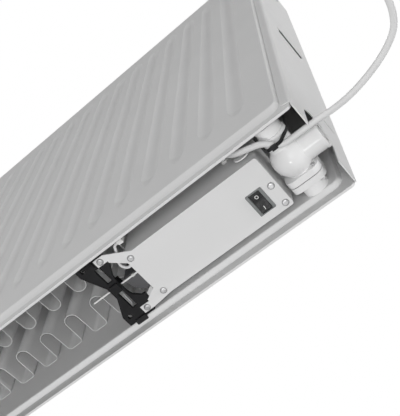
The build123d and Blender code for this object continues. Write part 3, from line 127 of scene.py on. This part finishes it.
cord_route = from_corner([
    (-12.0, -20.4, 9.8),
    (6.0, -20.4, 9.8),
    (24.0, -19.9, 6.6),
    (44.0, -22.4, FLOOR_Z),
    (66.0, -27.3, FLOOR_Z),
    (86.0, -34.6, FLOOR_Z),
    (103.0, -45.0, FLOOR_Z),
    (110.5, -58.5, FLOOR_Z),
    (113.9, -73.0, FLOOR_Z),
    (113.5, -93.0, BASE_Z),
    (113.5, -112.0, BASE_Z),
] + coil_points() + [
    (200.5, -106.0, TOP_Z),
    (200.5, -96.0, TOP_Z),
    (200.5, -82.0, 7.0),
    (200.5, -72.0, 7.0),
])


def make_cord(points):
    """A round curve through the route, whose radius is set at each point."""
    curve = bpy.data.curves.new("mains_cord", "CURVE")
    curve.dimensions = "3D"
    curve.bevel_depth = 1.0
    curve.bevel_resolution = 5
    curve.resolution_u = 8
    curve.use_fill_caps = True
    spline = curve.splines.new("NURBS")
    spline.points.add(len(points) - 1)
    for place, point in zip(points, spline.points):
        point.co = (*place, 1.0)
        point.radius = CORD_R * MM
    spline.order_u = 3
    spline.use_endpoint_u = True
    return link(bpy.data.objects.new("mains_cord", curve))


cord = make_cord(cord_route)
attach(cord, "radiator")
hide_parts("cord_run", "cord_coil", "cord_tail")


# Materials
class Paint:
    """A material and the few texture steps that its looks are made from."""

    def __init__(self, name):
        self.material = bpy.data.materials.new(name)
        self.material.use_nodes = True
        self.tree = self.material.node_tree
        self.shader = self.tree.nodes["Principled BSDF"]
        self.place = self.tree.nodes.new("ShaderNodeTexCoord").outputs["Object"]
        self.height = None

    def node(self, kind, **values):
        made = self.tree.nodes.new(kind)
        for key, value in values.items():
            setattr(made, key, value)
        return made

    def join(self, source, target):
        self.tree.links.new(source, target)

    def noise(self, size, detail=2.0, stretch=(1, 1, 1)):
        """Cloudy values whose patches are about this many metres across."""
        place = self.place
        if stretch != (1, 1, 1):
            mapping = self.node("ShaderNodeMapping")
            mapping.inputs["Scale"].default_value = stretch
            self.join(self.place, mapping.inputs["Vector"])
            place = mapping.outputs["Vector"]
        made = self.node("ShaderNodeTexNoise")
        made.inputs["Scale"].default_value = 1 / size
        made.inputs["Detail"].default_value = detail
        self.join(place, made.inputs["Vector"])
        return made.outputs["Fac"]

    def between(self, value, low, high, start=0.3, end=0.7):
        made = self.node("ShaderNodeMapRange")
        made.inputs["From Min"].default_value = start
        made.inputs["From Max"].default_value = end
        made.inputs["To Min"].default_value = low
        made.inputs["To Max"].default_value = high
        self.join(value, made.inputs["Value"])
        return made.outputs["Result"]

    def colour(self, value, first, second):
        """Blends two colours by a value from 0 to 1 into the base colour."""
        made = self.node("ShaderNodeMix", data_type="RGBA")
        made.inputs["A"].default_value = (*first, 1)
        made.inputs["B"].default_value = (*second, 1)
        self.join(value, made.inputs["Factor"])
        self.join(made.outputs["Result"], self.shader.inputs["Base Color"])
        return made.outputs["Result"]

    def rough(self, value, low, high):
        self.join(self.between(value, low, high), self.shader.inputs["Roughness"])

    def bump(self, value, depth):
        """Adds relief this many metres deep."""
        made = self.node("ShaderNodeBump")
        made.inputs["Distance"].default_value = depth
        self.join(value, made.inputs["Height"])
        if self.height:
            self.join(self.height, made.inputs["Normal"])
        self.height = made.outputs["Normal"]
        self.join(self.height, self.shader.inputs["Normal"])


def shade(colour, factor):
    return tuple(min(1.0, c * factor) for c in colour)


def coated(name, colour, rough, peel, depth, drift=0.015, gloss=0.02):
    """Stoved enamel: a fine orange peel, with slight drifts in tone and gloss."""
    paint = Paint(name)
    drifts = paint.noise(0.09, 3)
    paint.colour(paint.between(drifts, 0, 1), shade(colour, 1 - drift), shade(colour, 1 + drift))
    paint.rough(paint.noise(0.02, 2), rough - 0.04, rough + 0.05)
    paint.bump(paint.noise(peel, 1), depth)
    paint.shader.inputs["Specular IOR Level"].default_value = gloss
    return paint.material


CAST_GLOSS = 0.14


def cast_enamel(name, colour):
    """Enamel over a casting: lumpy under a glossy coat, and matt on the machined rims of the sockets."""
    paint = Paint(name)
    drifts = paint.noise(0.02, 3)
    paint.colour(paint.between(drifts, 0, 1), shade(colour, 0.985), shade(colour, 1.01))
    paint.rough(paint.noise(0.01, 2), 0.11, 0.15)
    paint.bump(paint.noise(0.004, 2), 0.00003)
    split = paint.node("ShaderNodeSeparateXYZ")
    paint.join(paint.place, split.inputs["Vector"])
    centred = paint.node("ShaderNodeMath", operation="SUBTRACT")
    paint.join(split.outputs["X"], centred.inputs[0])
    centred.inputs[1].default_value = SOCKETS_MIDDLE
    out = paint.node("ShaderNodeMath", operation="ABSOLUTE")
    paint.join(centred.outputs["Value"], out.inputs[0])
    gloss = paint.between(out.outputs["Value"], CAST_GLOSS, 0.0, SOCKET_RIM_AT, SOCKET_RIM_AT + RIM_BLEND)
    paint.join(gloss, paint.shader.inputs["Specular IOR Level"])
    return paint.material


def moulded(name, colour, rough, grain, depth, drift=0.04, gloss=0.5):
    """Moulded plastic: an even spark-eroded grain and faint flow marks."""
    paint = Paint(name)
    flow = paint.noise(0.025, 4, (1, 1, 2.5))
    paint.colour(paint.between(flow, 0, 1), shade(colour, 1 - drift), shade(colour, 1 + drift))
    paint.rough(paint.noise(0.006, 2), rough - 0.05, rough + 0.06)
    paint.bump(paint.noise(grain, 2), depth)
    paint.shader.inputs["Specular IOR Level"].default_value = gloss
    return paint.material


def metal(name, colour, rough, blotch, drift=0.12):
    """Plated metal with blotches in the plating and a fine grain."""
    paint = Paint(name)
    marks = paint.noise(blotch, 4)
    paint.colour(paint.between(marks, 0, 1), shade(colour, 1 - drift), shade(colour, 1 + drift / 2))
    paint.rough(marks, rough - 0.08, rough + 0.1)
    paint.bump(paint.noise(0.0004, 2), 0.00001)
    paint.shader.inputs["Metallic"].default_value = 1.0
    return paint.material


def sheath(name, colour):
    """Flexible sheath of a lead: soft sheen with fine drawing marks."""
    paint = Paint(name)
    tone = paint.noise(0.03, 3)
    paint.colour(paint.between(tone, 0, 1), shade(colour, 0.97), shade(colour, 1.02))
    paint.rough(paint.noise(0.004, 2), 0.38, 0.5)
    paint.bump(paint.noise(0.0009, 2), 0.00002)
    paint.shader.inputs["Specular IOR Level"].default_value = 0.1
    return paint.material


def board(name):
    """Circuit board: green lacquer over copper tracks, with tinned pads."""
    paint = Paint(name)
    tracks = paint.node("ShaderNodeTexBrick")
    tracks.inputs["Scale"].default_value = 160.0
    tracks.inputs["Mortar Size"].default_value = 0.06
    tracks.inputs["Color1"].default_value = (0.03, 0.16, 0.07, 1)
    tracks.inputs["Color2"].default_value = (0.035, 0.2, 0.085, 1)
    tracks.inputs["Mortar"].default_value = (0.1, 0.32, 0.13, 1)
    paint.join(paint.place, tracks.inputs["Vector"])
    paint.join(tracks.outputs["Color"], paint.shader.inputs["Base Color"])
    paint.rough(paint.noise(0.01, 2), 0.25, 0.4)
    paint.bump(tracks.outputs["Fac"], 0.00004)
    return paint.material


materials = {
    "white_enamel": coated("white_enamel", (0.80, 0.80, 0.80), rough=0.6, peel=0.0016, depth=0.00002),
    "cast_enamel": cast_enamel("cast_enamel", (0.88, 0.88, 0.88)),
    "convector_enamel": coated(
        "convector_enamel", (0.84, 0.84, 0.84), rough=0.5, peel=0.0012, depth=0.00003, drift=0.03
    ),
    "white_plastic": moulded(
        "white_plastic", (0.80, 0.80, 0.79), rough=0.4, grain=0.0005, depth=0.000015, drift=0.015
    ),
    "white_cord": sheath("white_cord", (0.78, 0.78, 0.78)),
    "white_rod": coated("white_rod", (0.86, 0.86, 0.86), rough=0.3, peel=0.0012, depth=0.00001),
    "black_plastic": moulded(
        "black_plastic", (0.012, 0.012, 0.013), rough=0.45, grain=0.0004, depth=0.00002, drift=0.1, gloss=0.2
    ),
    "rocker_black": moulded(
        "rocker_black", (0.008, 0.008, 0.009), rough=0.24, grain=0.0005, depth=0.000008, drift=0.1
    ),
    "dark_plastic": moulded("dark_plastic", (0.09, 0.09, 0.095), rough=0.5, grain=0.0005, depth=0.00002),
    "grey_plastic": moulded("grey_plastic", (0.19, 0.20, 0.20), rough=0.45, grain=0.0004, depth=0.000015),
    "zinc_steel": metal("zinc_steel", (0.50, 0.50, 0.505), rough=0.38, blotch=0.004),
    "plated_brass": metal("plated_brass", (0.74, 0.72, 0.68), rough=0.28, blotch=0.006, drift=0.08),
    "seal_rubber": moulded(
        "seal_rubber", (0.03, 0.03, 0.03), rough=0.7, grain=0.0006, depth=0.00003, drift=0.1
    ),
    "board_green": board("board_green"),
}

# Nodes whose finish is their own, not the plain one of their slot
FINISHES = {
    "tee_bottom_right": "cast_enamel",
    "tee_bottom_left": "cast_enamel",
    "tee_top_right": "cast_enamel",
    "tee_top_left": "cast_enamel",
    "rear_stubs": "cast_enamel",
    "switch_rocker": "rocker_black",
}


def dress_nodes():
    """Gives every node the material of its slot, or its own finish where the photograph shows one."""
    for part in frame["record"]["subparts"]:
        node = nodes[part["node"]]
        node.data.materials.clear()
        finish = FINISHES.get(part["node"], part["material_slot"])
        node.data.materials.append(materials[finish])


dress_nodes()
cord.data.materials.append(materials["white_cord"])


def piece(name, mesh, body, slot):
    """A new piece of the part, riding on its body."""
    obj = link(bpy.data.objects.new(name, mesh))
    mesh.materials.append(materials[slot])
    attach(obj, body)


def finished(bm, name, smooth=False):
    """A mesh from the edited faces, with all normals outward."""
    mesh = bpy.data.meshes.new(name)
    bmesh.ops.recalc_face_normals(bm, faces=bm.faces)
    for face in bm.faces:
        face.smooth = smooth
    bm.to_mesh(mesh)
    bm.free()
    return mesh


# Ribbed strain relief round the cord's last bend into the plug, in mm
RELIEF_RIBS = 6
RIB_PARTS = 3
RELIEF_TIP_R = 3.5
RELIEF_ROOT_R = 5.2
RELIEF_GROOVE = 0.8
SHEATH_CLEARANCE = 0.15
RELIEF_SIDES = 24
BEND_IN_STEPS = 8
BEND_OUT_STEPS = 28


def bezier(start, control, end, t):
    """Place and direction on the curve through a start, a control point and an end."""
    place = start * (1 - t) ** 2 + control * 2 * t * (1 - t) + end * t**2
    return place, ((control - start) * (1 - t) + (end - control) * t).normalized()


def make_relief():
    """A sleeve that widens towards the plug; the last third of each rib's length is its groove."""
    before, first, second, last = cord_route[-4:]
    middle = (first + second) / 2
    bend_in = [bezier((before + first) / 2, first, middle, 0.5 + 0.5 * k / BEND_IN_STEPS)
               for k in range(BEND_IN_STEPS)]
    bend_out = [bezier(middle, second, last, k / BEND_OUT_STEPS) for k in range(BEND_OUT_STEPS + 1)]
    stations = bend_in + bend_out
    count = len(stations) - 1
    bm = bmesh.new()
    rings = []
    for k, (place, along) in enumerate(stations):
        share = k / count
        in_groove = 0 < k < count and int(share * RELIEF_RIBS * RIB_PARTS) % RIB_PARTS == RIB_PARTS - 1
        groove = RELIEF_GROOVE if in_groove else 0
        radius = RELIEF_TIP_R + (RELIEF_ROOT_R - RELIEF_TIP_R) * share - groove
        radius = max(radius, CORD_R + SHEATH_CLEARANCE) * MM
        across = Vector((1, 0, 0))
        up = across.cross(along)
        angles = [tau * j / RELIEF_SIDES for j in range(RELIEF_SIDES)]
        rings.append([bm.verts.new(place + (across * cos(a) + up * sin(a)) * radius) for a in angles])
    for low, high in zip(rings, rings[1:]):
        for j in range(RELIEF_SIDES):
            n = (j + 1) % RELIEF_SIDES
            bm.faces.new((low[j], low[n], high[n], high[j]))
    bm.faces.new(rings[0])
    bm.faces.new(rings[-1])
    piece("plug_relief", finished(bm, "plug_relief", True), "radiator", "white_plastic")


make_relief()


# Marks printed on the rocker, in mm
PRINT_BELOW = -0.05
PRINT_ABOVE = 0.06
OFF_AT = -5.3
OFF_OUTER_R = 1.9
OFF_INNER_R = 1.25
ON_FROM = 5.2
ON_TO = 9.0
ON_HALF_W = 0.35
MARK_SIDES = 40


def rocker_place(along, across, proud):
    """A place on the rocker's dished face, this far along it from its middle, in metres."""
    dish = ROCKER_HALF_L * sin(ROCKER_TILT) / cos(ROCKER_TILT)
    depth = -ROCKER_LIP + dish / 2 - abs(along) / ROCKER_HALF_L * dish - proud
    y = SWITCH_AT[1] + along * cos(ROCKER_TILT) + depth * sin(ROCKER_TILT)
    z = PIVOT_Z - along * sin(ROCKER_TILT) + depth * cos(ROCKER_TILT)
    return Vector((SWITCH_AT[0] + across, y, z)) * MM


def printed(name, loops):
    """Thin print on the rocker's face, between closed loops of (along, across) points."""
    bm = bmesh.new()
    layers = []
    for proud in (PRINT_BELOW, PRINT_ABOVE):
        layers.append([[bm.verts.new(rocker_place(a, c, proud)) for a, c in loop] for loop in loops])
    count = len(loops[0])
    for k in range(count):
        n = (k + 1) % count
        for low, high in zip(layers[0], layers[1]):
            bm.faces.new((low[k], low[n], high[n], high[k]))
        if len(loops) == 2:
            for layer in layers:
                bm.faces.new((layer[0][k], layer[0][n], layer[1][n], layer[1][k]))
    if len(loops) == 1:
        for layer in layers:
            bm.faces.new(layer[0])
    piece(name, finished(bm, name), "rocker", "white_plastic")


def ring(r):
    """A closed round loop about the off mark's middle."""
    angles = [tau * k / MARK_SIDES for k in range(MARK_SIDES)]
    return [(OFF_AT + r * cos(a), r * sin(a)) for a in angles]


ON_LOOP = [(ON_FROM, -ON_HALF_W), (ON_TO, -ON_HALF_W), (ON_TO, ON_HALF_W), (ON_FROM, ON_HALF_W)]
printed("off_mark", [ring(OFF_OUTER_R), ring(OFF_INNER_R)])
printed("on_mark", [ON_LOOP])


# Stage, lamps and background
FLOOR_DROP = 0.0006
FLOOR_HALF = 6.0
FLOOR_COLOUR = (0.9, 0.9, 0.9, 1)
FLOOR_GLOW = 0.14

# Direction from the aim, distance, size, and the level added to a surface that faces the lamp
LAMPS = {
    "lamp_key": ((0.20, -0.38, -0.90), 3.0, 1.2, 0.37),
    "lamp_below": ((-0.157, 0.057, -0.986), 3.0, 0.6, 0.25),
    "lamp_front": ((-0.179, -0.982, 0.06), 3.0, 0.6, 0.20),
    "lamp_right": ((0.98, -0.06, -0.15), 3.5, 1.6, 0.35),
    "lamp_above": ((0.25, 0.20, 0.95), 3.5, 1.6, 0.22),
    "lamp_left": ((-0.95, -0.10, 0.10), 3.5, 1.6, 0.20),
    "lamp_corner": ((0.8, -0.3, 0.5), 3.0, 1.0, 0.03),
    "lamp_rear": ((-0.15, 0.98, 0.15), 3.5, 1.6, 0.25),
    "glint_below": ((-0.157, 0.057, -0.986), 3.0, 0.14, 0.03),
    "glint_front": ((-0.179, -0.982, 0.06), 3.0, 0.14, 0.03),
}
LAMP_AIM = Vector((0.35, 0.0, 0.1))
AMBIENT = 0.13


def make_floor():
    """A pale floor that keeps the shadow from above and lets the camera look through from below."""
    bm = bmesh.new()
    corners = [(-1, -1), (1, -1), (1, 1), (-1, 1)]
    bm.faces.new([bm.verts.new((x * FLOOR_HALF, y * FLOOR_HALF, -FLOOR_DROP)) for x, y in corners])
    mesh = bpy.data.meshes.new("floor")
    bm.to_mesh(mesh)
    bm.free()
    floor = link(bpy.data.objects.new("floor", mesh))
    material = bpy.data.materials.new("floor")
    material.use_nodes = True
    tree = material.node_tree
    tree.nodes.clear()
    output = tree.nodes.new("ShaderNodeOutputMaterial")
    pale = tree.nodes.new("ShaderNodeBsdfDiffuse")
    pale.inputs["Color"].default_value = FLOOR_COLOUR
    glow = tree.nodes.new("ShaderNodeEmission")
    glow.inputs["Strength"].default_value = FLOOR_GLOW
    lit = tree.nodes.new("ShaderNodeAddShader")
    clear = tree.nodes.new("ShaderNodeBsdfTransparent")
    path = tree.nodes.new("ShaderNodeLightPath")
    geometry = tree.nodes.new("ShaderNodeNewGeometry")
    seen = tree.nodes.new("ShaderNodeMath")
    seen.operation = "MAXIMUM"
    above = tree.nodes.new("ShaderNodeMath")
    above.operation = "SUBTRACT"
    above.use_clamp = True
    choice = tree.nodes.new("ShaderNodeMixShader")
    join = tree.links.new
    join(pale.outputs[0], lit.inputs[0])
    join(glow.outputs[0], lit.inputs[1])
    join(path.outputs["Is Camera Ray"], seen.inputs[0])
    join(path.outputs["Is Glossy Ray"], seen.inputs[1])
    join(seen.outputs[0], above.inputs[0])
    join(geometry.outputs["Backfacing"], above.inputs[1])
    join(above.outputs[0], choice.inputs["Fac"])
    join(clear.outputs[0], choice.inputs[1])
    join(lit.outputs[0], choice.inputs[2])
    join(choice.outputs[0], output.inputs["Surface"])
    floor.data.materials.append(material)


def make_lamp(name, toward, distance, size, level):
    """A square lamp that adds this level to a surface facing it."""
    data = bpy.data.lights.new(name, "AREA")
    data.shape = "SQUARE"
    data.size = size
    data.energy = pi**2 * distance**2 * level
    lamp = link(bpy.data.objects.new(name, data))
    direction = Vector(toward).normalized()
    lamp.location = LAMP_AIM + direction * distance
    lamp.rotation_mode = "QUATERNION"
    lamp.rotation_quaternion = direction.to_track_quat("Z", "Y")


def make_background():
    """White for the camera and for mirrored and clear rays, and a low even light for all else."""
    world = bpy.data.worlds.new("background")
    bpy.context.scene.world = world
    world.use_nodes = True
    tree = world.node_tree
    light = tree.nodes["Background"]
    path = tree.nodes.new("ShaderNodeLightPath")
    glossy = tree.nodes.new("ShaderNodeMath")
    glossy.operation = "MAXIMUM"
    seen = tree.nodes.new("ShaderNodeMath")
    seen.operation = "MAXIMUM"
    level = tree.nodes.new("ShaderNodeMapRange")
    level.inputs["To Min"].default_value = AMBIENT
    level.inputs["To Max"].default_value = 1.0
    join = tree.links.new
    join(path.outputs["Is Glossy Ray"], glossy.inputs[0])
    join(path.outputs["Is Transmission Ray"], glossy.inputs[1])
    join(path.outputs["Is Camera Ray"], seen.inputs[0])
    join(glossy.outputs[0], seen.inputs[1])
    join(seen.outputs[0], level.inputs["Value"])
    join(level.outputs["Result"], light.inputs["Strength"])
    light.inputs["Color"].default_value = (1, 1, 1, 1)


make_floor()
for lamp_name, settings in LAMPS.items():
    make_lamp(lamp_name, *settings)
make_background()
bpy.context.scene.view_settings.view_transform = "Standard"
